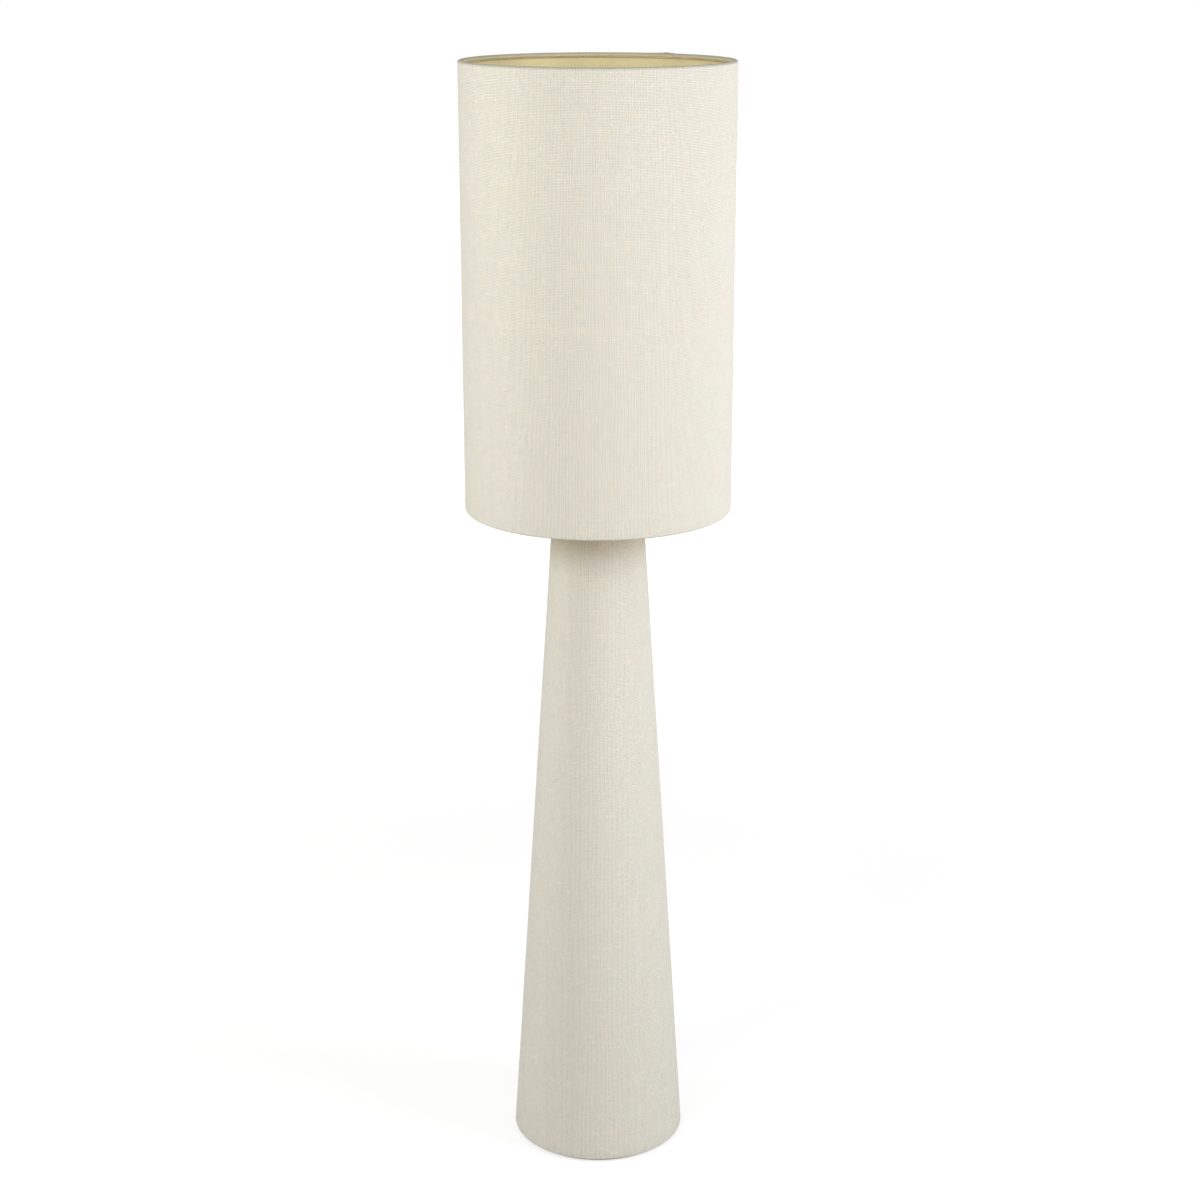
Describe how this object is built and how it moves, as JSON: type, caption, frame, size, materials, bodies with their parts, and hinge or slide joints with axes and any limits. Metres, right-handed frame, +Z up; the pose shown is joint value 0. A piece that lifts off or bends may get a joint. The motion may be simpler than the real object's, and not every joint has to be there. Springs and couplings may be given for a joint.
{
  "type": "column floor lamp",
  "caption": "Floor lamp with a tall linen drum shade over a tapering linen-covered column, with a lampholder and an opal bulb inside the shade.",
  "frame": {"origin": "on the floor, under the middle of the base", "axes": "+Z up along the column, +Y towards the back where the cord goes in, +X to the right seen from the front"},
  "size_m": [0.3499, 0.35, 1.48],
  "materials": {
    "shade_linen": "matte",
    "column_linen": "matte",
    "lining": "satin",
    "felt": "matte",
    "board": "matte",
    "cast_iron": "matte",
    "zinc_steel": "satin",
    "card": "matte",
    "white_paint": "satin",
    "white_plastic": "gloss",
    "block_plastic": "matte",
    "brass": "satin",
    "rubber": "matte",
    "sheath": "satin",
    "core_insulation": "satin",
    "opal": "satin",
    "nickel": "satin",
    "black_plastic": "gloss",
    "circuit_board": "satin",
    "led_board": "matte"
  },
  "bodies": {
    "stand": {"base_felt": "felt", "base_board": "board", "base_weight": "cast_iron", "weight_bolts": "zinc_steel", "terminal_block": "block_plastic", "terminal_sleeves": "brass", "terminal_screws": "zinc_steel", "block_screw": "zinc_steel", "inlet_grommet": "rubber", "column_core": "card", "column_cover": "column_linen", "column_seam": "column_linen", "base_core_screws": "zinc_steel", "top_core_screws": "zinc_steel", "top_board": "board", "top_plate": "white_paint", "threaded_nipple": "zinc_steel", "lower_washer": "zinc_steel", "lower_nut": "zinc_steel", "upper_washer": "zinc_steel", "upper_nut": "zinc_steel", "inner_lead": "sheath", "lead_wires": "core_insulation", "holder_cap": "white_plastic", "holder_body": "white_plastic", "holder_insert": "block_plastic", "contact_screws": "brass", "screw_shell": "brass", "centre_contact": "brass"},
    "shade": {"shade_linen": "shade_linen", "shade_lining": "lining", "shade_seam": "shade_linen", "shade_top_ring": "white_paint", "shade_carrier": "white_paint"},
    "ring": {"shade_ring": "white_plastic"},
    "bulb": {"bulb_globe": "opal", "bulb_housing": "white_plastic", "bulb_cap": "nickel", "bulb_insulator": "black_plastic", "bulb_contact": "nickel", "bulb_led_board": "led_board", "bulb_driver": "circuit_board"}
  },
  "joints": [
    {"name": "shade_turn", "type": "hinge", "parent": "stand", "child": "shade", "pos_m": [0, 0, 0.9578], "axis": [0, 0, 1], "continuous": true},
    {"name": "shade_ring_unscrew", "type": "slide", "parent": "stand", "child": "ring", "axis": [0, 0, 1], "range_m": [0, 0.03]},
    {"name": "bulb_unscrew", "type": "slide", "parent": "stand", "child": "bulb", "axis": [0, 0, 1], "range_m": [0, 0.03]}
  ]
}
